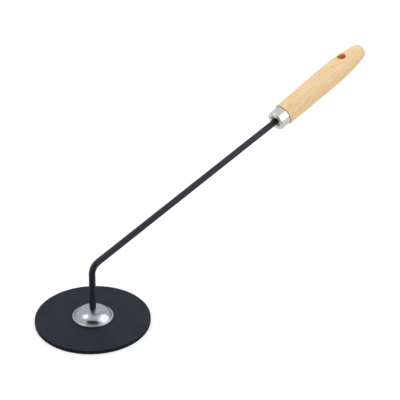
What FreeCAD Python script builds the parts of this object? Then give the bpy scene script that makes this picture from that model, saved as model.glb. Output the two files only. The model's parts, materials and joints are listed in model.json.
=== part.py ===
import FreeCAD, Part
import math
import os

# Round plate on a bent rod with a turned wooden handle.
# Millimetres, +Z up. The origin is the centre of the plate's underside, and the rod and
# the handle lean towards +X in the XZ plane.

# Plate
PLATE_RADIUS = 70.0
PLATE_THICKNESS = 5.0
PLATE_EDGE_ROUND = 0.8

# Rod: an M8 threaded foot, an upright stretch, one bend, a slanted stretch and a tang
ROD_RADIUS = 4.0
ROD_CORNER_HEIGHT = 75.6        # where the upright and slanted centrelines cross
ROD_SLOPE_DEG = 22.0            # rise of the slanted stretch above the horizontal
ROD_BEND_RADIUS = 15.0
ROD_REACH = 307.6               # from that crossing to the mouth of the ferrule
ROD_END_CHAMFER = 0.8
TANG_LENGTH = 62.0              # from the mouth of the ferrule into the handle
TANG_POINT_LENGTH = 9.0
TANG_POINT_RADIUS = 1.6
TANG_TURN_RADIUS = 80.0

# Lock nut, split washer and flat washer of an M8 thread
NUT_SIDES = 6
NUT_ACROSS_FLATS = 13.0
NUT_HEIGHT = 6.5
NUT_CHAMFER_DEG = 30.0
SPRING_WASHER_RADIUS = 7.4
SPRING_WASHER_HEIGHT = 2.0
SPRING_WASHER_SLIT = 0.8
SPRING_WASHER_SLIT_DEG = 20.0
FLAT_WASHER_RADIUS = 8.0
FLAT_WASHER_HEIGHT = 1.6
WASHER_BORE_RADIUS = 4.2

# Pressed cap over the nut, its heights measured from the plate's top
CAP_RIM_RADIUS = 24.9
CAP_RIM_HEIGHT = 2.7            # the flat rim's top face, its edge is turned down to the plate
CAP_RIM_ROUND = 0.8
CAP_DOME_RADIUS = 23.4          # horizontal and vertical half axes of the dome's ellipse
CAP_DOME_RISE = 13.7
CAP_DOME_CENTRE = -0.5          # height of the ellipse's centre
CAP_WALL = 1.0
CAP_FILLET = 1.2

# Ferrule, its mouth at the rod side
FERRULE_RADIUS = 12.9
FERRULE_LENGTH = 16.0
FERRULE_WALL = 1.1
FERRULE_MOUTH_RADIUS = 7.6
FERRULE_CURL_DEPTH = 4.0         # the rolled-in edge ends this far inside the mouth
FERRULE_EDGE_ROUND = 0.4
FERRULE_GAP = 0.2                # the ferrule's end stops this short of the wood's shoulder

# Handle, measured along its axis from the edge where it leaves the ferrule
HANDLE_SET_DEG = 2.1            # the handle sits this much steeper than the rod
HANDLE_LENGTH = 153.0
HANDLE_SHOULDER_RADIUS = 14.6
HANDLE_SHOULDER_ROUND = 1.0
HANDLE_BELLY_RADIUS = 15.4
HANDLE_BARREL = (               # (distance along, radius) of the turned outline
    (30.0, 14.95),
    (84.0, HANDLE_BELLY_RADIUS),
    (108.0, 15.0),
    (124.0, 13.75),
    (137.0, 12.1),
    (149.0, 9.8),
)
HANDLE_NOSE_ROUND = 6.5
HANDLE_NOSE_BULGE = 0.75        # share of the nose's length reached at half its radius
TENON_RECESS = 4.2              # the wood's front face lies this far inside the mouth
HANG_HOLE_RADIUS = 5.8
HANG_HOLE_AT = 115.5
HANG_HOLE_EASE = 0.6

FIND_MARGIN = 0.1               # slack when edges are picked out by where they lie
SAME_PLACE = 0.001              # closer than this, two measures count as equal

UP = FreeCAD.Vector(0, 0, 1)
X_AXIS = FreeCAD.Vector(1, 0, 0)
Y_AXIS = FreeCAD.Vector(0, 1, 0)
ORIGIN = FreeCAD.Vector(0, 0, 0)


def slope_direction(degrees):
    """Unit vector in the XZ plane that rises towards +X at this angle."""
    angle = math.radians(degrees)
    return FreeCAD.Vector(math.cos(angle), 0, math.sin(angle))


ROD_DIRECTION = slope_direction(ROD_SLOPE_DEG)
HANDLE_DIRECTION = slope_direction(ROD_SLOPE_DEG + HANDLE_SET_DEG)
ROD_CORNER = FreeCAD.Vector(0, 0, ROD_CORNER_HEIGHT)
MOUTH = ROD_CORNER + ROD_DIRECTION * ROD_REACH


def profile_point(radius, height):
    """A point of a turned profile, which is drawn in the XZ half plane."""
    return FreeCAD.Vector(radius, 0, height)


def revolve(edges):
    """Turns a closed profile about the Z axis into a solid."""
    face = Part.Face(Part.Wire(edges))
    return face.revolve(ORIGIN, UP, 360)


def polyline(points):
    """Straight edges from each point to the next."""
    return [Part.LineSegment(a, b).toShape() for a, b in zip(points, points[1:])]


def arc(start, middle, end):
    return Part.Arc(start, middle, end).toShape()


def circular_edges(shape, radius, height):
    """The edges of a turned shape that are circles of this radius at this height."""
    found = []
    for edge in shape.Edges:
        box = edge.BoundBox
        flat_there = abs(box.ZMin - height) < SAME_PLACE and abs(box.ZMax - height) < SAME_PLACE
        if flat_there and abs(box.XMax - radius) < SAME_PLACE:
            found.append(edge)
    return found


def place_on_handle_axis(shape):
    """Moves a shape turned about +Z, with its zero at the ferrule's mouth, onto the handle."""
    placed = shape.copy()
    tilt = 90 - (ROD_SLOPE_DEG + HANDLE_SET_DEG)
    placed.Placement = FreeCAD.Placement(MOUTH, FreeCAD.Rotation(Y_AXIS, tilt))
    return placed


def make_plate():
    """Flat round plate with eased edges and a threaded hole, drawn at the thread's diameter."""
    disc = Part.makeCylinder(PLATE_RADIUS, PLATE_THICKNESS)
    rims = circular_edges(disc, PLATE_RADIUS, 0) + circular_edges(disc, PLATE_RADIUS, PLATE_THICKNESS)
    disc = disc.makeFillet(PLATE_EDGE_ROUND, rims)
    hole = Part.makeCylinder(ROD_RADIUS, PLATE_THICKNESS)
    lead_in = Part.makeCone(ROD_RADIUS + ROD_END_CHAMFER, ROD_RADIUS, ROD_END_CHAMFER)
    return disc.cut([hole, lead_in])


def make_ring(inner_radius, outer_radius, height, base):
    """A flat ring about the Z axis."""
    outer = Part.makeCylinder(outer_radius, height, FreeCAD.Vector(0, 0, base))
    return outer.cut(Part.makeCylinder(inner_radius, height, FreeCAD.Vector(0, 0, base)))


def make_plain_washer():
    return make_ring(WASHER_BORE_RADIUS, FLAT_WASHER_RADIUS, FLAT_WASHER_HEIGHT, PLATE_THICKNESS)


def make_spring_washer():
    """Split washer, pressed flat, with a slanted slit through one side."""
    base = PLATE_THICKNESS + FLAT_WASHER_HEIGHT
    ring = make_ring(WASHER_BORE_RADIUS, SPRING_WASHER_RADIUS, SPRING_WASHER_HEIGHT, base)
    depth = 2 * SPRING_WASHER_HEIGHT
    slit = Part.makeBox(SPRING_WASHER_RADIUS, SPRING_WASHER_SLIT, 2 * depth)
    slit.translate(FreeCAD.Vector(0, -SPRING_WASHER_SLIT / 2, -depth))
    slit.rotate(ORIGIN, X_AXIS, SPRING_WASHER_SLIT_DEG)
    slit.translate(FreeCAD.Vector(0, 0, base + SPRING_WASHER_HEIGHT / 2))
    return ring.cut(slit)


def make_lock_nut():
    """Hex nut with both faces chamfered at its corners."""
    base = PLATE_THICKNESS + FLAT_WASHER_HEIGHT + SPRING_WASHER_HEIGHT
    flat = NUT_ACROSS_FLATS / 2
    corner = flat / math.cos(math.pi / NUT_SIDES)
    points = []
    for index in range(NUT_SIDES + 1):
        angle = 2 * math.pi * index / NUT_SIDES
        points.append(FreeCAD.Vector(corner * math.cos(angle), corner * math.sin(angle), 0))
    prism = Part.Face(Part.makePolygon(points)).extrude(UP * NUT_HEIGHT)
    drop = (corner - flat) * math.tan(math.radians(NUT_CHAMFER_DEG))
    bevelled = revolve(polyline([
        profile_point(0, 0),
        profile_point(flat, 0),
        profile_point(corner, drop),
        profile_point(corner, NUT_HEIGHT - drop),
        profile_point(flat, NUT_HEIGHT),
        profile_point(0, NUT_HEIGHT),
        profile_point(0, 0),
    ]))
    nut = prism.common(bevelled).cut(Part.makeCylinder(ROD_RADIUS, NUT_HEIGHT))
    nut.translate(UP * base)
    return nut


def make_ellipsoid_cap(radius, rise, cut_height):
    """The part of an ellipsoid of revolution above a plane, its centre at the origin."""
    cut_angle = math.degrees(math.asin(cut_height / rise))
    ball = Part.makeSphere(radius, ORIGIN, UP, cut_angle, 90, 360)
    stretch = FreeCAD.Matrix()
    stretch.scale(1, 1, rise / radius)
    return ball.transformGeometry(stretch)


def pressed_form(inset):
    """The cap's outside form, or the same form moved inwards by the sheet's thickness."""
    rim_height = CAP_RIM_HEIGHT - inset
    radius = CAP_DOME_RADIUS - inset
    rise = CAP_DOME_RISE - inset
    cut_height = rim_height - CAP_DOME_CENTRE
    foot_radius = radius * math.sqrt(1 - (cut_height / rise) ** 2)
    rim = Part.makeCylinder(CAP_RIM_RADIUS - inset, rim_height)
    dome = make_ellipsoid_cap(radius, rise, cut_height)
    dome.translate(UP * CAP_DOME_CENTRE)
    form = rim.fuse(dome).removeSplitter()
    return form.makeFillet(CAP_FILLET, circular_edges(form, foot_radius, rim_height))


def make_dome_cap():
    """Pressed cap of even wall: turned-down edge, flat rim, fillet, elliptical dome."""
    outside = pressed_form(0)
    lip = circular_edges(outside, CAP_RIM_RADIUS, CAP_RIM_HEIGHT)
    outside = outside.makeFillet(CAP_RIM_ROUND, lip)
    rod_hole = Part.makeCylinder(ROD_RADIUS, CAP_DOME_RISE)
    cap = outside.cut([pressed_form(CAP_WALL), rod_hole])
    cap.translate(UP * PLATE_THICKNESS)
    return cap


def bend_points(before, corner, after, radius):
    """Start, middle and end of the arc that rounds a corner between two straight runs."""
    inward = (before - corner).normalize()
    outward = (after - corner).normalize()
    half_angle = inward.getAngle(outward) / 2
    setback = radius / math.tan(half_angle)
    bisector = (inward + outward).normalize()
    middle = corner + bisector * (radius / math.sin(half_angle) - radius)
    return corner + inward * setback, middle, corner + outward * setback


def make_rod():
    """Round bar swept from the threaded foot, round the bend, to a pointed tang."""
    tang_end = MOUTH + HANDLE_DIRECTION * (TANG_LENGTH - TANG_POINT_LENGTH)
    foot = FreeCAD.Vector(0, 0, ROD_END_CHAMFER)
    bend = bend_points(foot, ROD_CORNER, MOUTH, ROD_BEND_RADIUS)
    turn = bend_points(ROD_CORNER, MOUTH, tang_end, TANG_TURN_RADIUS)
    path = Part.Wire([
        Part.LineSegment(foot, bend[0]).toShape(),
        arc(*bend),
        Part.LineSegment(bend[2], turn[0]).toShape(),
        arc(*turn),
        Part.LineSegment(turn[2], tang_end).toShape(),
    ])
    section = Part.Wire(Part.makeCircle(ROD_RADIUS, foot, UP))
    bar = path.makePipeShell([section], True, False)
    foot_bevel = Part.makeCone(ROD_RADIUS - ROD_END_CHAMFER, ROD_RADIUS, ROD_END_CHAMFER)
    point = Part.makeCone(ROD_RADIUS, TANG_POINT_RADIUS, TANG_POINT_LENGTH,
                          tang_end, HANDLE_DIRECTION)
    return bar.fuse([foot_bevel, point]).removeSplitter()


def half_round(centre, radius):
    """Half circle of a turned profile that bulges towards the mouth, about (radius, height)."""
    return arc(profile_point(centre[0] - radius, centre[1]),
               profile_point(centre[0], centre[1] - radius),
               profile_point(centre[0] + radius, centre[1]))


def make_ferrule():
    """Spun sleeve whose front end rolls in, as a half-round lip, to a mouth wider than the rod."""
    lip_radius = (FERRULE_RADIUS - FERRULE_MOUTH_RADIUS) / 2
    lip_centre = (FERRULE_RADIUS - lip_radius, lip_radius)
    inner_radius = FERRULE_RADIUS - FERRULE_WALL
    curl_radius = FERRULE_MOUTH_RADIUS + FERRULE_WALL
    end = FERRULE_LENGTH - FERRULE_GAP
    outside = polyline([
        profile_point(FERRULE_RADIUS, lip_radius),
        profile_point(FERRULE_RADIUS, end),
        profile_point(inner_radius, end),
        profile_point(inner_radius, lip_radius),
    ])
    curl = polyline([
        profile_point(curl_radius, lip_radius),
        profile_point(curl_radius, FERRULE_CURL_DEPTH),
        profile_point(FERRULE_MOUTH_RADIUS, FERRULE_CURL_DEPTH),
        profile_point(FERRULE_MOUTH_RADIUS, lip_radius),
    ])
    inner_lip = half_round(lip_centre, lip_radius - FERRULE_WALL)
    outer_lip = half_round(lip_centre, lip_radius)
    sleeve = revolve(outside + [inner_lip] + curl + [outer_lip])
    rim = circular_edges(sleeve, FERRULE_RADIUS, end)
    return place_on_handle_axis(sleeve.makeFillet(FERRULE_EDGE_ROUND, rim))


def make_handle_blank():
    """Turned wood: a tenon for the ferrule, a barrel and a rounded end."""
    joint = FERRULE_LENGTH
    tenon_radius = FERRULE_RADIUS - FERRULE_WALL
    points = [profile_point(HANDLE_SHOULDER_RADIUS, joint)]
    points += [profile_point(radius, joint + along) for along, radius in HANDLE_BARREL]
    curve = Part.BSplineCurve()
    curve.interpolate(points)
    tip = profile_point(0, joint + HANDLE_LENGTH)
    nose_rim = points[-1]
    nose_middle = profile_point(nose_rim.x / 2, nose_rim.z + HANDLE_NOSE_BULGE * (tip.z - nose_rim.z))
    edges = polyline([
        tip,
        profile_point(0, TENON_RECESS),
        profile_point(tenon_radius, TENON_RECESS),
        profile_point(tenon_radius, joint),
        points[0],
    ])
    edges += [curve.toShape(), arc(nose_rim, nose_middle, tip)]
    blank = revolve(edges)
    nose = circular_edges(blank, nose_rim.x, nose_rim.z)
    blank = blank.makeFillet(HANDLE_NOSE_ROUND, nose)
    shoulder = circular_edges(blank, HANDLE_SHOULDER_RADIUS, joint)
    return blank.makeFillet(HANDLE_SHOULDER_ROUND, shoulder)


def hole_mouth_edges(shape, height):
    """The curved edges where a cross-drilled hole centred at this height breaks the surface."""
    reach = HANG_HOLE_RADIUS + FIND_MARGIN
    found = []
    for edge in shape.Edges:
        box = edge.BoundBox
        beside_hole = box.ZMin > height - reach and box.ZMax < height + reach
        if beside_hole and box.ZLength > FIND_MARGIN:
            found.append(edge)
    return found


def make_handle():
    """The turned blank with its eased hanging hole and the bore that the tang fills."""
    blank = make_handle_blank()
    reach = 2 * HANDLE_BELLY_RADIUS
    height = FERRULE_LENGTH + HANG_HOLE_AT
    hole = Part.makeCylinder(HANG_HOLE_RADIUS, reach, profile_point(-reach / 2, height), X_AXIS)
    drilled = blank.cut(hole)
    drilled = drilled.makeFillet(HANG_HOLE_EASE, hole_mouth_edges(drilled, height))
    handle = place_on_handle_axis(drilled)
    return handle.cut(make_rod())


PARTS = {
    "plate": make_plate,
    "plain_washer": make_plain_washer,
    "spring_washer": make_spring_washer,
    "lock_nut": make_lock_nut,
    "dome_cap": make_dome_cap,
    "rod": make_rod,
    "ferrule": make_ferrule,
    "handle": make_handle,
}


def main():
    os.makedirs("parts", exist_ok=True)
    for name, make in PARTS.items():
        shape = make()
        solids = shape.Solids
        solids[0].exportStep(os.path.join("parts", name + ".step"))
        print(name, shape.ShapeType, len(solids), shape.isValid(), round(shape.Volume, 1))


main()
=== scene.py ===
import json
import math

import bmesh
import bpy
import numpy as np
from mathutils import Matrix, Vector


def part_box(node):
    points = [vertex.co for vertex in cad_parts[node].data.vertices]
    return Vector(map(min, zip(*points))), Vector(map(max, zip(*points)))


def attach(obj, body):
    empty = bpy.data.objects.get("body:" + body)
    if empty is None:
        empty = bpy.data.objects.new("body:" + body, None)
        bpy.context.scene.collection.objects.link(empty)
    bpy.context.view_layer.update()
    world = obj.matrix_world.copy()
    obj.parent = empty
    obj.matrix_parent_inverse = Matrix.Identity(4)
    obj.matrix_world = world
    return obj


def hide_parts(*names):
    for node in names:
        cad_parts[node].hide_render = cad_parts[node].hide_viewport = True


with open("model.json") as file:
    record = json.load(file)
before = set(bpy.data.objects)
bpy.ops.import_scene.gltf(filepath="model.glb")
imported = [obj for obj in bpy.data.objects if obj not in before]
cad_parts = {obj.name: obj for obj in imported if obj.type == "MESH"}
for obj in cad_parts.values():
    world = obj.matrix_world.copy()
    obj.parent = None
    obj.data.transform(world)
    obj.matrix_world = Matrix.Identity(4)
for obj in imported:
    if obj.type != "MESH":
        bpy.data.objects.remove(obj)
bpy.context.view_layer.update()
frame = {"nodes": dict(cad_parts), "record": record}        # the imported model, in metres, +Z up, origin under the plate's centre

MM = 0.001
NODES = frame["nodes"]
RECORD = frame["record"]

# Camera: place in metres, turns in degrees
CAMERA_PLACE = (-0.5560, -0.8513, 0.6936)
CAMERA_TURN_DEG = -40.2         # about +Z, from looking along +Y
CAMERA_DOWN_DEG = 27.45
CAMERA_ROLL_DEG = 1.96
CAMERA_LENS = 90.0
CAMERA_SENSOR = 36.0

# Plate
PLATE_RADIUS = -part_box("plate")[0].x
PLATE_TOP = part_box("plate")[1].z
PLATE_EDGE_ROUND = 0.8 * MM

# Rod
ROD_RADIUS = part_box("rod")[1].y
ROD_CHAMFER = 0.8 * MM
ROD_CORNER_HEIGHT = 75.6 * MM
ROD_BEND_RADIUS = 15.0 * MM
TANG_LENGTH = 62.0 * MM
TANG_POINT_LENGTH = 9.0 * MM
TANG_POINT_RADIUS = 1.6 * MM
TANG_TURN_RADIUS = 80.0 * MM

# Cap, its heights measured from the plate's top
CAP_RIM_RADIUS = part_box("dome_cap")[1].y
CAP_RIM_HEIGHT = 2.7 * MM
CAP_RIM_ROUND = 0.8 * MM
CAP_DOME_RADIUS = 23.4 * MM     # horizontal and vertical half axes of the dome's ellipse
CAP_DOME_RISE = 13.7 * MM
CAP_DOME_CENTRE = -0.5 * MM
CAP_WALL = 1.0 * MM
CAP_FILLET = 1.2 * MM
CAP_FILLET_REACH = 1.5 * MM     # the dome's outline starts this far above its foot

# Ferrule, heights from its mouth
FERRULE_LENGTH = 16.0 * MM
FERRULE_WALL = 1.1 * MM
FERRULE_MOUTH_RADIUS = 7.6 * MM
FERRULE_CURL_DEPTH = 4.0 * MM
FERRULE_GAP = 0.1 * MM          # between the sleeve's end and the wood's shoulder
FERRULE_EDGE_ROUND = 0.3 * MM

# Handle, turned outline as (distance from the ferrule's end, radius)
HANDLE_BARREL = [
    (0.0 * MM, 14.6 * MM),
    (30.0 * MM, 14.95 * MM),
    (84.0 * MM, 15.4 * MM),
    (108.0 * MM, 15.0 * MM),
    (124.0 * MM, 13.75 * MM),
    (137.0 * MM, 12.1 * MM),
    (149.0 * MM, 9.8 * MM),
]
SHOULDER_RADIUS = HANDLE_BARREL[0][1]
BARREL_RADIUS = HANDLE_BARREL[1][1]
SHOULDER_ROUND = 1.0 * MM
TENON_RECESS = 4.2 * MM
HOLE_EASE = 0.6 * MM
NOSE_START = 143.0 * MM          # from here the barrel closes to the rounded end
NOSE_POWER = 4.9                 # a higher power keeps the barrel full for longer
NOSE_ROOT = 1.40                 # a higher root makes the end blunter

# The handle's own axes come from its hanging hole: Z along the handle, X along the hole
HANG_HOLE = next(m for m in RECORD["mounts"] if m["name"] == "hang_hole")
HOLE_CENTRE = Vector(HANG_HOLE["pos_m"])
HOLE_AXIS = Vector(HANG_HOLE["axis"]).normalized()
HOLE_RADIUS = HANG_HOLE["dims"]["r_mm"] * MM
HANDLE_AXIS = Vector((HOLE_AXIS.z, 0, -HOLE_AXIS.x))


def span_along_handle(node):
    """Lowest and highest place of a CAD node along the handle's axis, from the hole's centre."""
    places = [(v.co - HOLE_CENTRE).dot(HANDLE_AXIS) for v in NODES[node].data.vertices]
    return min(places), max(places)


FERRULE_RADIUS = max(((v.co - HOLE_CENTRE).cross(HANDLE_AXIS)).length
                     for v in NODES["ferrule"].data.vertices)
MOUTH = HOLE_CENTRE + HANDLE_AXIS * span_along_handle("ferrule")[0]
HANDLE_END = span_along_handle("handle")[1] - span_along_handle("ferrule")[0]
HOLE_HEIGHT = (HOLE_CENTRE - MOUTH).length


def handle_frame():
    """Places a piece drawn along +Z from the ferrule's mouth onto the handle's axis."""
    side = HANDLE_AXIS.cross(HOLE_AXIS)
    turn = Matrix((HOLE_AXIS, side, HANDLE_AXIS)).transposed()
    return Matrix.Translation(MOUTH) @ turn.to_4x4()


# Meshes: small distances, and how finely each piece is divided
ON_AXIS = 1e-7                  # a radius below this is a point on the axis
WELD = 1e-6                     # vertices nearer than this become one
SHARP_DEG = 38                  # steeper edges are shaded sharp
ARC_STEPS = 8
BAND = 0.25 * MM                # width of the narrow faces beside a rounded edge
PLATE_SEGMENTS = 192
CAP_SEGMENTS = 160
DOME_STEPS = 32
ROD_SEGMENTS = 48
ROD_SPACING = 8.0 * MM
ROD_BEND_STEPS = 20
TANG_TURN_STEPS = 4
FERRULE_SEGMENTS = 128
LIP_OUTER_STEPS = 24
LIP_INNER_STEPS = 16
WOOD_SEGMENTS = 120
BARREL_ROWS = 60                # from the shoulder to the hanging hole's patch
END_ROWS = 14                   # from the patch to the nose
NOSE_STEPS = 20
PATCH_CELLS = 24                # along each side of the square patch that frames the hole
PATCH_REACH = 9.4 * MM
PATCH_STEPS = 8
EASE_STEPS = 5
EASE_ROUNDS = 4                 # rounds in which the hole's eased edge settles on the skin
SLOPE_PROBE = 0.05 * MM
BORE_STEPS = 8

# Studio: sizes in metres, greys from 0 to 1
STUDIO_AIM = Vector((0.15, 0.0, 0.08))
FLOOR_SIZE = 24
FLOOR_SHADE = 0.5
FLOOR_GLOW = 0.48
WORLD_LIGHT = 0.66
WORLD_LIGHT_BELOW = 0.04
HORIZON_BLUR = 0.1
SUN_SPREAD_DEG = 110
CARD_RISE = 0.2 * MM            # between the floor, the grey sheet and the card on it
CARD_BLACK = 0.01
CARD_GREY = 0.55
CARD_FRONT_GAP = 0.32           # from the plate's edge to the middle of the card before it

# Marks left by turning, spinning and growth
CAP_RING_PITCH = 0.45 * MM
FERRULE_GROOVE_PITCH = 0.6 * MM
WOOD_RING_PITCH = 3.4 * MM
WOOD_PITH = (-31.0 * MM, 12.0 * MM, 0.0)


# ---------------------------------------------------------------- camera and light


def make_camera():
    data = bpy.data.cameras.new("camera")
    data.lens = CAMERA_LENS
    data.sensor_width = CAMERA_SENSOR
    data.clip_start = 0.05
    data.clip_end = 50
    camera = bpy.data.objects.new("camera", data)
    turn = Matrix.Rotation(math.radians(CAMERA_TURN_DEG), 4, "Z")
    tilt = Matrix.Rotation(math.radians(90 - CAMERA_DOWN_DEG), 4, "X")
    roll = Matrix.Rotation(math.radians(CAMERA_ROLL_DEG), 4, "Z")
    camera.matrix_world = Matrix.Translation(CAMERA_PLACE) @ turn @ tilt @ roll
    bpy.context.scene.collection.objects.link(camera)
    bpy.context.scene.camera = camera


def direction(azimuth, elevation):
    """Unit vector at this azimuth from +X and this height above the floor, in degrees."""
    a, e = math.radians(azimuth), math.radians(elevation)
    return Vector((math.cos(a) * math.cos(e), math.sin(a) * math.cos(e), math.sin(e)))


def place_facing(item, azimuth, elevation, distance):
    """Puts a light or a card this far from the tool, turned to face it."""
    toward = direction(azimuth, elevation)
    item.location = STUDIO_AIM + toward * distance
    item.rotation_mode = "QUATERNION"
    item.rotation_quaternion = toward.to_track_quat("Z", "Y")
    bpy.context.scene.collection.objects.link(item)


def make_softbox(name, width, height, power, azimuth, elevation, distance):
    """An area light, round where its sides are equal, that shows only as a highlight."""
    data = bpy.data.lights.new(name, "AREA")
    data.shape = "RECTANGLE" if width != height else "DISK"
    data.size = width
    data.size_y = height
    data.energy = power
    lamp = bpy.data.objects.new(name, data)
    place_facing(lamp, azimuth, elevation, distance)
    lamp.visible_diffuse = False


def make_sun(azimuth, elevation, strength):
    """A very broad, soft key light for the even light, not mirrored in the glossy surfaces."""
    data = bpy.data.lights.new("key", "SUN")
    data.energy = strength
    data.angle = math.radians(SUN_SPREAD_DEG)
    key = bpy.data.objects.new("key", data)
    place_facing(key, azimuth, elevation, distance=3.0)
    key.visible_glossy = False


def make_world():
    """Even light from above the horizon and little from below it."""
    world = bpy.data.worlds.new("studio")
    world.use_nodes = True
    tree = world.node_tree
    background = tree.nodes["Background"]
    where = tree.nodes.new("ShaderNodeTexCoord")
    height = tree.nodes.new("ShaderNodeSeparateXYZ")
    level = tree.nodes.new("ShaderNodeMapRange")
    level.inputs["From Min"].default_value = -HORIZON_BLUR
    level.inputs["From Max"].default_value = HORIZON_BLUR
    level.inputs["To Min"].default_value = WORLD_LIGHT_BELOW
    level.inputs["To Max"].default_value = WORLD_LIGHT
    tree.links.new(where.outputs["Generated"], height.inputs["Vector"])
    tree.links.new(height.outputs["Z"], level.inputs["Value"])
    tree.links.new(level.outputs["Result"], background.inputs["Strength"])
    background.inputs["Color"].default_value = (0.97, 0.98, 1.0, 1)
    bpy.context.scene.world = world


def matt_sheet(name, width, height, shade):
    """A flat matt rectangle of this grey for the studio, facing +Z, and its shader."""
    mesh = bpy.data.meshes.new(name)
    x, y = width / 2, height / 2
    mesh.from_pydata([(-x, -y, 0), (x, -y, 0), (x, y, 0), (-x, y, 0)], [], [(0, 1, 2, 3)])
    material, shader = new_material(name)
    shader.inputs["Base Color"].default_value = (shade, shade, shade, 1)
    shader.inputs["Roughness"].default_value = 0.95
    shader.inputs["Specular IOR Level"].default_value = 0.0
    mesh.materials.append(material)
    sheet = bpy.data.objects.new(name, mesh)
    return sheet, shader


def make_floor():
    """A floor that gives off nearly half of its brightness, like a light table."""
    floor, shader = matt_sheet("floor", FLOOR_SIZE, FLOOR_SIZE, FLOOR_SHADE)
    shader.inputs["Emission Color"].default_value = (1, 1, 1, 1)
    shader.inputs["Emission Strength"].default_value = FLOOR_GLOW
    bpy.context.scene.collection.objects.link(floor)


def make_card(name, width, height, shade):
    """A card of this grey that is seen only in the glossy surfaces."""
    card, _ = matt_sheet(name, width, height, shade)
    card.visible_camera = False
    card.visible_diffuse = False
    card.visible_shadow = False
    return card


def lay_card(card, centre, rise, turn):
    """Lays a card flat this far above the floor, its width turned by degrees from +X."""
    card.location = (*centre, rise)
    card.rotation_euler.z = math.radians(turn)
    bpy.context.scene.collection.objects.link(card)


def make_cards():
    """Black cards behind the camera and before the plate, and a grey sheet over the floor."""
    back = make_card("card_back", 2.1, 1.4, CARD_BLACK)
    front = make_card("card_front", 1.4, 0.6, CARD_BLACK)
    sheet = make_card("card_floor", FLOOR_SIZE, FLOOR_SIZE, CARD_GREY)
    before_plate = direction(-130, 0).xy * (PLATE_RADIUS + CARD_FRONT_GAP)
    place_facing(back, azimuth=-129, elevation=41, distance=1.75)
    lay_card(front, before_plate, rise=2 * CARD_RISE, turn=-40)
    lay_card(sheet, (0, 0), rise=CARD_RISE, turn=0)


def make_studio():
    bpy.context.scene.view_settings.view_transform = "Standard"
    make_world()
    make_floor()
    make_cards()
    make_softbox("soft_right", 1.7, 1.8, power=10.6, azimuth=-40, elevation=37, distance=1.6)
    make_softbox("small_left", 0.6, 0.6, power=1.9, azimuth=136, elevation=57, distance=1.6)
    make_sun(azimuth=20, elevation=78, strength=1.82)


# ---------------------------------------------------------------- shader helpers


def new_material(name):
    material = bpy.data.materials.new(name)
    material.use_nodes = True
    return material, material.node_tree.nodes["Principled BSDF"]


class Graph:
    """Adds nodes to one material; a value may be a number, a colour or another node's output."""

    def __init__(self, name):
        self.material, self.shader = new_material(name)
        self.tree = self.material.node_tree

    def put(self, socket, value):
        if isinstance(value, bpy.types.NodeSocket):
            self.tree.links.new(value, socket)
        elif isinstance(value, tuple) and len(value) == 3 and socket.type == "RGBA":
            socket.default_value = (*value, 1)
        else:
            socket.default_value = value

    def node(self, kind, values=None, **settings):
        made = self.tree.nodes.new(kind)
        for name, value in settings.items():
            setattr(made, name, value)
        for name, value in (values or {}).items():
            self.put(made.inputs[name], value)
        return made

    def coordinates(self):
        return self.node("ShaderNodeTexCoord").outputs["Object"]

    def height(self, where):
        return self.node("ShaderNodeSeparateXYZ", {"Vector": where}).outputs["Z"]

    def waves(self, distance, pitch):
        """Sine waves over a distance, one for each pitch."""
        turn = self.math("MULTIPLY", distance, 2 * math.pi / pitch)
        return self.math("SINE", turn)

    def handle_coordinates(self):
        """Coordinates with Z along the handle from the ferrule's mouth and X along its hole."""
        place = handle_frame()
        values = {"Vector": self.coordinates(), "Location": tuple(place.translation),
                  "Rotation": tuple(place.to_euler())}
        return self.node("ShaderNodeMapping", values, vector_type="TEXTURE").outputs["Vector"]

    def math(self, operation, *values):
        made = self.node("ShaderNodeMath", operation=operation)
        for socket, value in zip(made.inputs, values):
            self.put(socket, value)
        return made.outputs[0]

    def vector(self, operation, *values):
        made = self.node("ShaderNodeVectorMath", operation=operation)
        for socket, value in zip(made.inputs, values):
            self.put(socket, value)
        return made.outputs["Value"] if operation == "LENGTH" else made.outputs["Vector"]

    def noise(self, where, scale, detail=3.0, roughness=0.5, distortion=0.0):
        values = {"Vector": where, "Scale": scale, "Detail": detail,
                  "Roughness": roughness, "Distortion": distortion}
        return self.node("ShaderNodeTexNoise", values).outputs["Fac"]

    def band(self, value, low, high, to_low=0.0, to_high=1.0):
        """Smoothly maps low..high to to_low..to_high."""
        values = {"Value": value, "From Min": low, "From Max": high,
                  "To Min": to_low, "To Max": to_high}
        made = self.node("ShaderNodeMapRange", values, interpolation_type="SMOOTHSTEP")
        return made.outputs["Result"]

    def mix(self, amount, first, second):
        """Blends two colours; a Mix node's colour sockets are inputs 6 and 7 and output 2."""
        made = self.node("ShaderNodeMix", data_type="RGBA")
        self.put(made.inputs["Factor"], amount)
        self.put(made.inputs[6], first)
        self.put(made.inputs[7], second)
        return made.outputs[2]

    def bump(self, height, strength, depth, under=None):
        values = {"Height": height, "Strength": strength, "Distance": depth}
        if under is not None:
            values["Normal"] = under
        return self.node("ShaderNodeBump", values).outputs["Normal"]

    def finish(self, **inputs):
        for name, value in inputs.items():
            self.put(self.shader.inputs[name.replace("_", " ")], value)
        return self.material


def axis_distance(graph, where):
    """Distance of a point from the piece's own Z axis."""
    flat = graph.vector("MULTIPLY", where, (1, 1, 0))
    return graph.vector("LENGTH", flat)


# ---------------------------------------------------------------- materials


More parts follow.
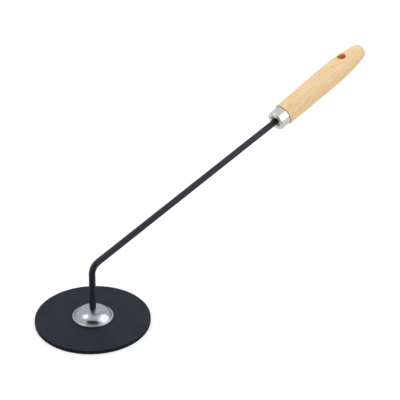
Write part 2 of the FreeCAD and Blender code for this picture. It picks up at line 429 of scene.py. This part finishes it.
def plate_black():
    """Satin black coating with a fine tooth, slightly rubbed at the rim; its side is darkened as
    painted shade.
    """
    g = Graph("plate_black")
    where = g.coordinates()
    cloud = g.noise(where, 28, 4, 0.55)
    tooth = g.noise(where, 1500, 2, 0.6)
    color = g.mix(g.band(cloud, 0.35, 0.65), (0.0115, 0.0165, 0.0270), (0.0165, 0.0220, 0.0340))
    radius = axis_distance(g, where)
    # painted shade: the side band and the outer part of the rounded edges are darkened towards
    # black
    edge = g.band(radius, PLATE_RADIUS - 0.5 * MM, PLATE_RADIUS - 0.1 * MM)
    color = g.mix(g.math("MULTIPLY", edge, 0.8), color, (0.003, 0.0035, 0.005))
    rim = g.band(radius, PLATE_RADIUS - 1.4 * MM, PLATE_RADIUS - 0.7 * MM)
    top = g.math("SUBTRACT", rim, edge)
    rub = g.math("MULTIPLY", top, g.band(g.noise(where, 160, 4, 0.7), 0.52, 0.68))
    color = g.mix(g.math("MULTIPLY", rub, 0.35), color, (0.07, 0.078, 0.09))
    roughness = g.math("ADD", g.band(cloud, 0.3, 0.7, 0.5, 0.6), g.math("MULTIPLY", rub, -0.12))
    normal = g.bump(tooth, 0.25, 0.05 * MM)
    return g.finish(Base_Color=color, Roughness=roughness, Normal=normal, Specular_IOR_Level=0.13)


def rod_black():
    """Semi-gloss enamel with a faint orange peel."""
    g = Graph("rod_black")
    where = g.coordinates()
    cloud = g.noise(where, 60, 3)
    peel = g.noise(where, 700, 2, 0.5)
    color = g.mix(g.band(cloud, 0.35, 0.65), (0.0008, 0.0011, 0.0040), (0.0018, 0.0024, 0.0065))
    roughness = g.band(peel, 0.3, 0.7, 0.50, 0.58)
    normal = g.bump(peel, 0.12, 0.06 * MM)
    return g.finish(Base_Color=color, Roughness=roughness, Normal=normal,
                    Specular_IOR_Level=0.95, Specular_Tint=(0.72, 0.76, 1.0))


def cap_steel():
    """Softly polished stainless sheet: faint turning rings and a slight waviness."""
    g = Graph("cap_steel")
    where = g.coordinates()
    wave = g.noise(where, 90, 2, 0.4)
    rings = g.waves(axis_distance(g, where), CAP_RING_PITCH)
    smear = g.noise(where, 260, 4, 0.6)
    color = g.mix(g.band(smear, 0.35, 0.7), (0.52, 0.535, 0.570), (0.60, 0.615, 0.650))
    roughness = g.band(smear, 0.3, 0.7, 0.22, 0.25)
    normal = g.bump(wave, 0.05, 0.15 * MM)
    normal = g.bump(rings, 0.05, 0.01 * MM, normal)
    return g.finish(Base_Color=color, Roughness=roughness, Normal=normal, Metallic=1.0)


def ferrule_metal():
    """Bright spun metal with fine rings left by the spinning tool."""
    g = Graph("ferrule_metal")
    where = g.handle_coordinates()
    stretched = g.vector("MULTIPLY", where, (40, 40, 2600))
    lines = g.noise(stretched, 1.0, 3, 0.6)
    groove = g.waves(g.height(where), FERRULE_GROOVE_PITCH)
    cloud = g.noise(where, 180, 3, 0.5)
    color = g.mix(g.band(cloud, 0.3, 0.7), (0.84, 0.83, 0.805), (0.91, 0.90, 0.87))
    roughness = g.band(lines, 0.3, 0.7, 0.16, 0.28)
    normal = g.bump(lines, 0.05, 0.03 * MM)
    normal = g.bump(groove, 0.03, 0.01 * MM, normal)
    return g.finish(Base_Color=color, Roughness=roughness, Normal=normal, Metallic=1.0)


def fastener_zinc():
    """Bright zinc plate, slightly clouded."""
    g = Graph("fastener_zinc")
    where = g.coordinates()
    cloud = g.noise(where, 420, 4, 0.6)
    color = g.mix(g.band(cloud, 0.3, 0.7), (0.56, 0.58, 0.60), (0.66, 0.67, 0.68))
    roughness = g.band(cloud, 0.3, 0.7, 0.28, 0.42)
    normal = g.bump(cloud, 0.1, 0.03 * MM)
    return g.finish(Base_Color=color, Roughness=roughness, Normal=normal, Metallic=1.0)


# Small dark flecks of the wood, as (height from the mouth, angle about the handle, length, width)
FLECKS = [
    (108.0 * MM, 20.0, 3.2 * MM, 0.8 * MM),
    (104.0 * MM, 24.0, 6.5 * MM, 0.5 * MM),
    (25.0 * MM, 30.0, 5.5 * MM, 0.7 * MM),
    (72.0 * MM, 140.0, 4.5 * MM, 0.7 * MM),
    (49.0 * MM, -110.0, 5.0 * MM, 0.6 * MM),
]


def wood_rings(g, where):
    """Growth rings about a pith that lies outside the handle, wavering and fading in and out."""
    slow = g.vector("MULTIPLY", where, (1, 1, 0.22))
    waver = g.math("MULTIPLY", g.noise(slow, 60, 3, 0.55), 13.0 * MM)
    from_pith = g.vector("SUBTRACT", where, WOOD_PITH)
    distance = g.math("ADD", axis_distance(g, from_pith), waver)
    fade = g.band(g.noise(slow, 95, 2, 0.5), 0.38, 0.68)
    return g.math("MULTIPLY", g.band(g.waves(distance, WOOD_RING_PITCH), -0.4, 1.0), fade)


def fleck_mask(g, where):
    """1 on the few larger dark flecks."""
    total = 0.0
    for height, angle, length, width in FLECKS:
        turn = math.radians(angle)
        centre = (BARREL_RADIUS * math.cos(turn), BARREL_RADIUS * math.sin(turn), height)
        offset = g.vector("SUBTRACT", where, centre)
        shaped = g.vector("MULTIPLY", offset, (1 / width, 1 / width, 1 / length))
        spot = g.band(g.vector("LENGTH", shaped), 0.35, 1.1, 1.0, 0.0)
        total = g.math("MAXIMUM", total, spot)
    return total


def hole_wall_and_shade(g, where, color):
    """The drilled hole's bare wall, tan at the mouth; its darker red brown further in is painted
    shade.
    """
    from_hole = g.vector("SUBTRACT", where, (0.0, 0.0, HOLE_HEIGHT))
    across = g.vector("LENGTH", g.vector("MULTIPLY", from_hole, (0, 1, 1)))
    bored = g.band(across, HOLE_RADIUS + 0.5 * MM, HOLE_RADIUS + 0.9 * MM, 1.0, 0.0)
    depth = g.vector("LENGTH", g.vector("MULTIPLY", where, (1, 0, 0)))
    # painted shade: the bare wall's tint turns darker and redder deeper in the hole
    wall = g.mix(g.band(depth, 10.0 * MM, 14.2 * MM), (0.77, 0.33, 0.155), (0.74, 0.46, 0.19))
    return g.mix(g.math("MULTIPLY", bored, 0.85), color, wall)


def painted_joint_shade(g, where, color):
    """A thin dark line where the wood meets the ferrule, painted shade of the gap between them.
    """
    joint = g.band(g.height(where), FERRULE_LENGTH, FERRULE_LENGTH + 0.3 * MM, 1.0, 0.0)
    return g.mix(g.math("MULTIPLY", joint, 0.4), color, (0.26, 0.14, 0.05))


def wood_color(g, where, rings, fibre):
    """Cream to pinkish wood, darker on its rings, streaks, fibres, short rays and flecks."""
    streak = g.noise(g.vector("MULTIPLY", where, (1, 1, 0.12)), 330, 3, 0.6, 0.4)
    blush = g.noise(g.vector("MULTIPLY", where, (1, 1, 0.5)), 75, 3, 0.55)
    rays = g.node("ShaderNodeTexVoronoi", {"Vector": g.vector("MULTIPLY", where, (1, 1, 0.25)),
                                           "Scale": 800.0})
    dash = g.band(rays.outputs["Distance"], 0.12, 0.36, 1.0, 0.0)
    color = g.mix(g.band(blush, 0.4, 0.6), (0.84, 0.608, 0.305), (0.865, 0.602, 0.370))
    color = g.mix(g.math("MULTIPLY", rings, 0.45), color, (0.76, 0.500, 0.225))
    color = g.mix(g.band(streak, 0.45, 0.75, 0.0, 0.42), color, (0.76, 0.50, 0.24))
    color = g.mix(g.band(streak, 0.25, 0.45, 0.45, 0.0), color, (0.90, 0.68, 0.42))
    color = g.mix(g.band(fibre, 0.35, 0.75, 0.0, 0.4), color, (0.66, 0.42, 0.20))
    color = g.mix(g.math("MULTIPLY", dash, 0.35), color, (0.55, 0.30, 0.12))
    return g.mix(g.math("MULTIPLY", fleck_mask(g, where), 0.8), color, (0.38, 0.21, 0.06))


def handle_wood():
    """Pale beech under thin varnish."""
    g = Graph("handle_wood")
    where = g.handle_coordinates()
    rings = wood_rings(g, where)
    fibre = g.noise(g.vector("MULTIPLY", where, (1, 1, 0.05)), 900, 4, 0.65)
    color = wood_color(g, where, rings, fibre)
    color = hole_wall_and_shade(g, where, color)
    color = painted_joint_shade(g, where, color)
    roughness = g.band(fibre, 0.3, 0.7, 0.4, 0.52)
    normal = g.bump(fibre, 0.12, 0.08 * MM)
    normal = g.bump(rings, 0.05, 0.04 * MM, normal)
    return g.finish(Base_Color=color, Roughness=roughness, Normal=normal,
                    Coat_Weight=0.15, Coat_Roughness=0.35, Specular_IOR_Level=0.35)


# ---------------------------------------------------------------- mesh helpers


def circle(segments):
    turns = [2 * math.pi * i / segments for i in range(segments)]
    return [(math.cos(t), math.sin(t)) for t in turns]


def add_ring(bm, radius, height, segments):
    """The vertices at one point of a turned outline: a ring, or one vertex on the axis."""
    if radius < ON_AXIS:
        return [bm.verts.new((0, 0, height))]
    return [bm.verts.new((radius * c, radius * s, height)) for c, s in circle(segments)]


def bridge(bm, first, second):
    """Faces between two rings; a ring of one vertex gives a fan."""
    count = max(len(first), len(second))
    for i in range(count):
        j = (i + 1) % count
        corners = []
        for ring, index in ((first, i), (first, j), (second, j), (second, i)):
            vertex = ring[index % len(ring)]
            if vertex not in corners:
                corners.append(vertex)
        bm.faces.new(corners)


def piece_from(bm, name, node, material, matrix=None):
    """A finished piece that stands for a CAD node, in that node's place."""
    bmesh.ops.remove_doubles(bm, verts=bm.verts, dist=WELD)
    bmesh.ops.recalc_face_normals(bm, faces=bm.faces)
    if matrix is not None:
        bm.transform(matrix)
    mesh = bpy.data.meshes.new(name)
    bm.to_mesh(mesh)
    bm.free()
    mesh.materials.append(material)
    for face in mesh.polygons:
        face.use_smooth = True
    mesh.set_sharp_from_angle(angle=math.radians(SHARP_DEG))
    piece = bpy.data.objects.new(name, mesh)
    bpy.context.scene.collection.objects.link(piece)
    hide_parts(node)
    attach(piece, "root")


def lathe(bm, outline, segments, closed):
    """Turns (radius, height) points about +Z."""
    rings = [add_ring(bm, radius, height, segments) for radius, height in outline]
    for first, second in zip(rings, rings[1:]):
        bridge(bm, first, second)
    if closed:
        bridge(bm, rings[-1], rings[0])


def corner_arc(before, corner, after, radius):
    """The arc that rounds a corner: its centre, and from there its start and its end."""
    inward = (before - corner).normalized()
    outward = (after - corner).normalized()
    half = inward.angle(outward) / 2
    setback = radius / math.tan(half)
    centre = corner + (inward + outward).normalized() * (radius / math.sin(half))
    return centre, corner + inward * setback - centre, corner + outward * setback - centre


def arc_points(before, corner, after, radius):
    """Points of the arc that rounds the corner of a flat outline."""
    centre, start, end = corner_arc(before, corner, after, radius)
    sweep = start.angle_signed(end)
    points = []
    for step in range(ARC_STEPS + 1):
        turned = start.copy()
        turned.rotate(Matrix.Rotation(-sweep * step / ARC_STEPS, 2))
        points.append(centre + turned)
    return points


def rounded(corners, closed):
    """An outline from (radius, height, rounding) corners, with short bands beside each arc."""
    spots = [Vector(corner[:2]) for corner in corners]
    count = len(corners)
    outline = []
    for i, corner in enumerate(corners):
        loose_end = not closed and i in (0, count - 1)
        if corner[2] == 0 or loose_end:
            outline.append(spots[i])
        else:
            outline += arc_points(spots[i - 1], spots[i], spots[(i + 1) % count], corner[2])
    return banded(outline, closed)


def banded(outline, closed):
    """Adds a point close to each end of a long straight run, which keeps flat faces flat."""
    result = []
    following = outline[1:] + outline[:1]
    for a, b in zip(outline, following):
        result.append((a.x, a.y))
        last_of_open = not closed and b is outline[0]
        length = (b - a).length
        if length > 4 * BAND and not last_of_open:
            step = (b - a).normalized() * BAND
            result.append(tuple(a + step))
            result.append(tuple(b - step))
    return result


# ---------------------------------------------------------------- pieces


def make_plate():
    """Flat disc with eased edges and a countersunk hole that the rod's foot fills."""
    corners = [
        (ROD_RADIUS, ROD_CHAMFER, 0),
        (ROD_RADIUS + ROD_CHAMFER, 0, 0),
        (PLATE_RADIUS, 0, PLATE_EDGE_ROUND),
        (PLATE_RADIUS, PLATE_TOP, PLATE_EDGE_ROUND),
        (ROD_RADIUS, PLATE_TOP, 0),
    ]
    bm = bmesh.new()
    lathe(bm, rounded(corners, True), PLATE_SEGMENTS, True)
    piece_from(bm, "round_plate", "plate", plate_black())


def dome_foot(inset):
    """Radius at which the dome's ellipse meets the rim."""
    cut = CAP_RIM_HEIGHT - inset - CAP_DOME_CENTRE
    return (CAP_DOME_RADIUS - inset) * math.sqrt(1 - (cut / (CAP_DOME_RISE - inset)) ** 2)


def dome_points(inset):
    """Points of the dome's ellipse, moved inwards by inset, from near its foot to the rod."""
    radius, rise = CAP_DOME_RADIUS - inset, CAP_DOME_RISE - inset
    lowest = CAP_RIM_HEIGHT - inset + CAP_FILLET_REACH - CAP_DOME_CENTRE
    start, end = math.asin(lowest / rise), math.acos(ROD_RADIUS / radius)
    points = []
    for step in range(DOME_STEPS + 1):
        turn = start + (end - start) * step / DOME_STEPS
        height = PLATE_TOP + CAP_DOME_CENTRE + rise * math.sin(turn)
        points.append((radius * math.cos(turn), height, 0))
    return points


def make_cap():
    """Pressed cap: turned-down edge, flat rim, fillet and elliptical dome."""
    rim_top = PLATE_TOP + CAP_RIM_HEIGHT
    inner_top = rim_top - CAP_WALL
    inner_edge = CAP_RIM_RADIUS - CAP_WALL
    corners = dome_points(0)[::-1]
    corners.append((dome_foot(0), rim_top, CAP_FILLET))
    corners.append((CAP_RIM_RADIUS, rim_top, CAP_RIM_ROUND))
    corners.append((CAP_RIM_RADIUS, PLATE_TOP, 0))
    corners.append((inner_edge, PLATE_TOP, 0))
    corners.append((inner_edge, inner_top, 0))
    corners.append((dome_foot(CAP_WALL), inner_top, CAP_FILLET))
    corners += dome_points(CAP_WALL)
    bm = bmesh.new()
    lathe(bm, rounded(corners, True), CAP_SEGMENTS, True)
    piece_from(bm, "hub_cap", "dome_cap", cap_steel())


def bend(before, corner, after, radius, steps):
    """Stations (place, direction) round a bend of a path."""
    centre, start, end = corner_arc(before, corner, after, radius)
    along = (corner - before).normalized()
    angle = start.angle(end)
    axis = start.cross(end).normalized()
    stations = []
    for step in range(steps + 1):
        turn = Matrix.Rotation(angle * step / steps, 3, axis)
        stations.append((centre + turn @ start, turn @ along))
    return stations


def straight(start, end, spacing):
    """Stations between two places, both left out."""
    steps = max(1, round((end - start).length / spacing))
    along = (end - start).normalized()
    return [(start.lerp(end, i / steps), along) for i in range(1, steps)]


def rod_stations():
    """The rod's centreline as (place, direction, radius), from its foot to the tang's point."""
    corner = Vector((0, 0, ROD_CORNER_HEIGHT))
    foot = Vector((0, 0, 0))
    up = Vector((0, 0, 1))
    shank_end = MOUTH + HANDLE_AXIS * (TANG_LENGTH - TANG_POINT_LENGTH)
    first = bend(foot, corner, MOUTH, ROD_BEND_RADIUS, ROD_BEND_STEPS)
    second = bend(corner, MOUTH, shank_end, TANG_TURN_RADIUS, TANG_TURN_STEPS)
    run = [(up * ROD_CHAMFER, up)]
    run += straight(up * ROD_CHAMFER, first[0][0], ROD_SPACING) + first
    run += straight(first[-1][0], second[0][0], ROD_SPACING) + second
    run += straight(second[-1][0], shank_end, ROD_SPACING) + [(shank_end, HANDLE_AXIS)]
    stations = [(foot, up, 0), (foot, up, ROD_RADIUS - ROD_CHAMFER)]
    stations += [(place, along, ROD_RADIUS) for place, along in run]
    tip = shank_end + HANDLE_AXIS * TANG_POINT_LENGTH
    stations += [(tip, HANDLE_AXIS, TANG_POINT_RADIUS), (tip, HANDLE_AXIS, 0)]
    return stations


def make_rod():
    """Round bar along its path, which lies in the XZ plane."""
    side = Vector((0, 1, 0))
    bm = bmesh.new()
    rings = []
    for place, along, radius in rod_stations():
        if radius < ON_AXIS:
            rings.append([bm.verts.new(place)])
            continue
        other = along.cross(side)
        rings.append([bm.verts.new(place + (side * c + other * s) * radius)
                      for c, s in circle(ROD_SEGMENTS)])
    for first, second in zip(rings, rings[1:]):
        bridge(bm, first, second)
    piece_from(bm, "bent_rod", "rod", rod_black())


def half_round(centre, radius, steps):
    """Half circle of a turned outline that bulges towards the mouth, from inside to outside."""
    points = []
    for step in range(steps + 1):
        turn = math.pi + math.pi * step / steps
        points.append(centre + Vector((math.cos(turn), math.sin(turn))) * radius)
    return points


def make_ferrule():
    """Spun sleeve whose front edge rolls in to the mouth."""
    lip = (FERRULE_RADIUS - FERRULE_MOUTH_RADIUS) / 2
    centre = Vector((FERRULE_RADIUS - lip, lip))
    end = FERRULE_LENGTH - FERRULE_GAP
    inner = FERRULE_RADIUS - FERRULE_WALL
    curl = FERRULE_MOUTH_RADIUS + FERRULE_WALL
    side = [(FERRULE_RADIUS, lip, 0), (FERRULE_RADIUS, end, FERRULE_EDGE_ROUND), (inner, end, 0)]
    outline = half_round(centre, lip, LIP_OUTER_STEPS)
    outline += [Vector(point) for point in rounded(side, False)[1:]]
    outline += reversed(half_round(centre, lip - FERRULE_WALL, LIP_INNER_STEPS))
    outline.append(Vector((curl, FERRULE_CURL_DEPTH)))
    outline.append(Vector((FERRULE_MOUTH_RADIUS, FERRULE_CURL_DEPTH)))
    bm = bmesh.new()
    lathe(bm, banded(outline, True), FERRULE_SEGMENTS, True)
    piece_from(bm, "ferrule_sleeve", "ferrule", ferrule_metal(), handle_frame())


def barrel_spline():
    """Natural cubic spline through the barrel's outline, as (distances, radii, second slopes)."""
    x = np.array([point[0] for point in HANDLE_BARREL])
    y = np.array([point[1] for point in HANDLE_BARREL])
    gap = np.diff(x)
    count = len(x)
    matrix = np.eye(count)
    right = np.zeros(count)
    for i in range(1, count - 1):
        matrix[i, i - 1:i + 2] = gap[i - 1], 2 * (gap[i - 1] + gap[i]), gap[i]
        right[i] = 6 * ((y[i + 1] - y[i]) / gap[i] - (y[i] - y[i - 1]) / gap[i - 1])
    return x, y, np.linalg.solve(matrix, right)


BARREL = barrel_spline()


def barrel_radius(distance):
    """Radius of the barrel this far from the ferrule's end, before the nose closes it."""
    x, y, bend_of = BARREL
    i = int(np.clip(np.searchsorted(x, distance) - 1, 0, len(x) - 2))
    gap = x[i + 1] - x[i]
    a = (x[i + 1] - distance) / gap
    b = 1 - a
    cubic = (a ** 3 - a) * bend_of[i] + (b ** 3 - b) * bend_of[i + 1]
    if distance > x[-1]:
        cubic = 0.0
    return a * y[i] + b * y[i + 1] + cubic * gap ** 2 / 6


def wood_radius(height):
    """Radius of the turned wood at a height from the ferrule's mouth."""
    distance = height - FERRULE_LENGTH
    length = HANDLE_END - FERRULE_LENGTH
    share = min(1.0, max(0.0, (distance - NOSE_START) / (length - NOSE_START)))
    return barrel_radius(distance) * (1 - share ** NOSE_POWER) ** (1 / NOSE_ROOT)


def even_heights(low, high, count):
    return [low + (high - low) * i / count for i in range(count)]


def skin_heights():
    """Heights of the barrel's rings; those beside the hanging hole frame its patch."""
    start = FERRULE_LENGTH + 2 * SHOULDER_ROUND
    low, high = HOLE_HEIGHT - PATCH_REACH, HOLE_HEIGHT + PATCH_REACH
    nose = FERRULE_LENGTH + NOSE_START
    heights = even_heights(start, low, BARREL_ROWS)
    heights += even_heights(low, high, PATCH_CELLS)
    heights += even_heights(high, nose, END_ROWS)
    for step in range(NOSE_STEPS):
        turn = math.pi / 2 * step / NOSE_STEPS
        heights.append(nose + (HANDLE_END - nose) * math.sin(turn))
    return heights


def skin_point(angle, height):
    radius = wood_radius(height)
    return Vector((radius * math.cos(angle), radius * math.sin(angle), height))


def hole_run(turn):
    """One line from the skin beside the hole, over the eased edge, to the hole's middle."""
    def skin_rise(reach):
        height = HOLE_HEIGHT + reach * math.sin(turn)
        return math.sqrt(wood_radius(height) ** 2 - (reach * math.cos(turn)) ** 2)

    reach, lean = HOLE_RADIUS + HOLE_EASE, 0.0
    for _ in range(EASE_ROUNDS):
        change = skin_rise(reach + SLOPE_PROBE) - skin_rise(reach - SLOPE_PROBE)
        lean = -math.atan(change / (2 * SLOPE_PROBE))
        reach = HOLE_RADIUS + HOLE_EASE * (1 + math.sin(lean))
    middle = skin_rise(reach) - HOLE_EASE * math.cos(lean)
    run = []
    for step in range(EASE_STEPS + 1):
        around = math.pi / 2 - lean + (math.pi / 2 + lean) * step / EASE_STEPS
        away = HOLE_RADIUS + HOLE_EASE + HOLE_EASE * math.cos(around)
        run.append((away, middle + HOLE_EASE * math.sin(around)))
    run += [(HOLE_RADIUS, middle * (1 - step / BORE_STEPS)) for step in range(1, BORE_STEPS + 1)]
    return [Vector((rise, away * math.cos(turn), HOLE_HEIGHT + away * math.sin(turn)))
            for away, rise in run]


def patch_border(rows):
    """(angle, height) round the square patch that frames the hole, without repeats."""
    cell = 2 * math.pi / WOOD_SEGMENTS
    half = PATCH_CELLS // 2 * cell
    border = [(-half + cell * i, rows[0]) for i in range(PATCH_CELLS)]
    border += [(half, row) for row in rows[:-1]]
    border += [(half - cell * i, rows[-1]) for i in range(PATCH_CELLS)]
    border += [(-half, row) for row in reversed(rows[1:])]
    return border


def hole_patch(bm, rows, flip):
    """Skin rings round the hole, its eased edge and its wall down to the handle's middle."""
    loops = []
    for angle, height in patch_border(rows):
        across = angle * SHOULDER_RADIUS
        run = hole_run(math.atan2(height - HOLE_HEIGHT, across))
        edge = run[0]
        edge_angle = math.atan2(edge.y, edge.x)
        line = []
        for step in range(PATCH_STEPS):
            share = step / PATCH_STEPS
            line.append(skin_point(angle + (edge_angle - angle) * share,
                                   height + (edge.z - height) * share))
        line += run
        loops.append([bm.verts.new((flip * p.x, flip * p.y, p.z)) for p in line])
    for depth in range(len(loops[0]) - 1):
        bridge(bm, [line[depth] for line in loops], [line[depth + 1] for line in loops])


def wood_skin(bm, heights):
    """The barrel's faces, left open where the two hole patches go."""
    rings = [add_ring(bm, wood_radius(height), height, WOOD_SEGMENTS) for height in heights]
    half = PATCH_CELLS // 2
    opened = set()
    for side in (0, WOOD_SEGMENTS // 2):
        opened |= {(side + i) % WOOD_SEGMENTS for i in range(-half, half)}
    for row, (a, b) in enumerate(zip(rings, rings[1:])):
        in_patch = BARREL_ROWS <= row < BARREL_ROWS + PATCH_CELLS
        for i in range(WOOD_SEGMENTS):
            j = (i + 1) % WOOD_SEGMENTS
            if not (in_patch and i in opened):
                bm.faces.new((a[i], a[j], b[j], b[i]))
    tip = bm.verts.new((0, 0, HANDLE_END))
    bridge(bm, rings[-1], [tip])


def handle_core():
    """Outline from the bottom of the tang's bore, round the tenon, to the barrel's first ring."""
    start = FERRULE_LENGTH + 2 * SHOULDER_ROUND
    tenon = FERRULE_RADIUS - FERRULE_WALL
    corners = [
        (0, TANG_LENGTH, 0),
        (TANG_POINT_RADIUS, TANG_LENGTH, 0),
        (ROD_RADIUS, TANG_LENGTH - TANG_POINT_LENGTH, 0),
        (ROD_RADIUS, TENON_RECESS, 0),
        (tenon, TENON_RECESS, 0),
        (tenon, FERRULE_LENGTH, 0),
        (wood_radius(FERRULE_LENGTH), FERRULE_LENGTH, SHOULDER_ROUND),
        (wood_radius(start), start, 0),
    ]
    return rounded(corners, False)


def make_handle():
    """Turned wood with a tenon, a barrel, a rounded end and a cross-drilled hanging hole."""
    heights = skin_heights()
    bm = bmesh.new()
    lathe(bm, handle_core(), WOOD_SEGMENTS, False)
    wood_skin(bm, heights)
    for flip in (1, -1):
        hole_patch(bm, heights[BARREL_ROWS:BARREL_ROWS + PATCH_CELLS + 1], flip)
    piece_from(bm, "wood_handle", "handle", handle_wood(), handle_frame())


def dress_fasteners():
    """The nut and washers keep their CAD meshes and get the zinc finish."""
    material = fastener_zinc()
    for name in ("plain_washer", "spring_washer", "lock_nut"):
        NODES[name].material_slots[0].material = material


make_camera()
make_studio()
make_plate()
make_cap()
make_rod()
make_ferrule()
make_handle()
dress_fasteners()
